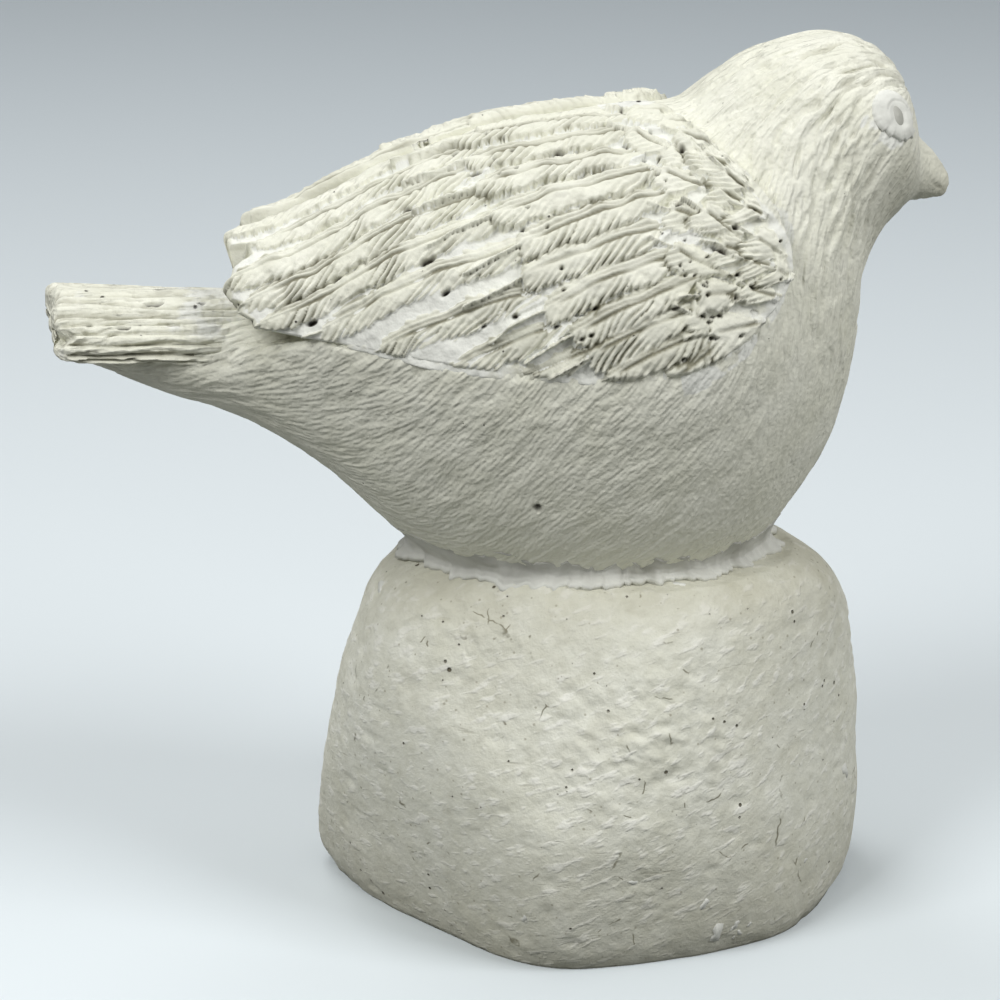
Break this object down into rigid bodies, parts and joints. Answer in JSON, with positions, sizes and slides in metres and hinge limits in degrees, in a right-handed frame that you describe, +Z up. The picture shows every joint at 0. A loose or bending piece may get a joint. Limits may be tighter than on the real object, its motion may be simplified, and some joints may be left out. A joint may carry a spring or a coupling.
{
  "type": "bird figurine",
  "caption": "Cast resin figurine of a plump songbird with folded, feather-carved wings and a straight tail, seated on a smooth boulder that stands on its own flat base.",
  "frame": {"origin": "middle of the overall box, on the surface that the boulder stands on", "axes": "+X the way the bird faces, from tail tip to beak; +Y the bird's left; +Z up"},
  "size_m": [0.1362, 0.0803, 0.134],
  "materials": {
    "stone_resin": "cream stone-filled resin, rubbed smooth, with pinholes and chips",
    "resin": "cream stone-filled resin, cast with carved feather strokes, matt",
    "filler": "cool white filler, brushed on, chalky",
    "eye_resin": "grey resin bead, satin",
    "steel": "plain drawn rod"
  },
  "bodies": {
    "root": {"rock_base": "stone_resin", "bird_body": "resin", "right_wing": "resin", "left_wing": "resin", "tail_fan": "resin", "right_eye": "eye_resin", "left_eye": "eye_resin", "right_eye_ring": "filler", "left_eye_ring": "filler", "seat_filler": "filler", "right_wing_filler": "filler", "left_wing_filler": "filler", "rear_seat_pin": "steel", "front_seat_pin": "steel"}
  },
  "joints": []
}
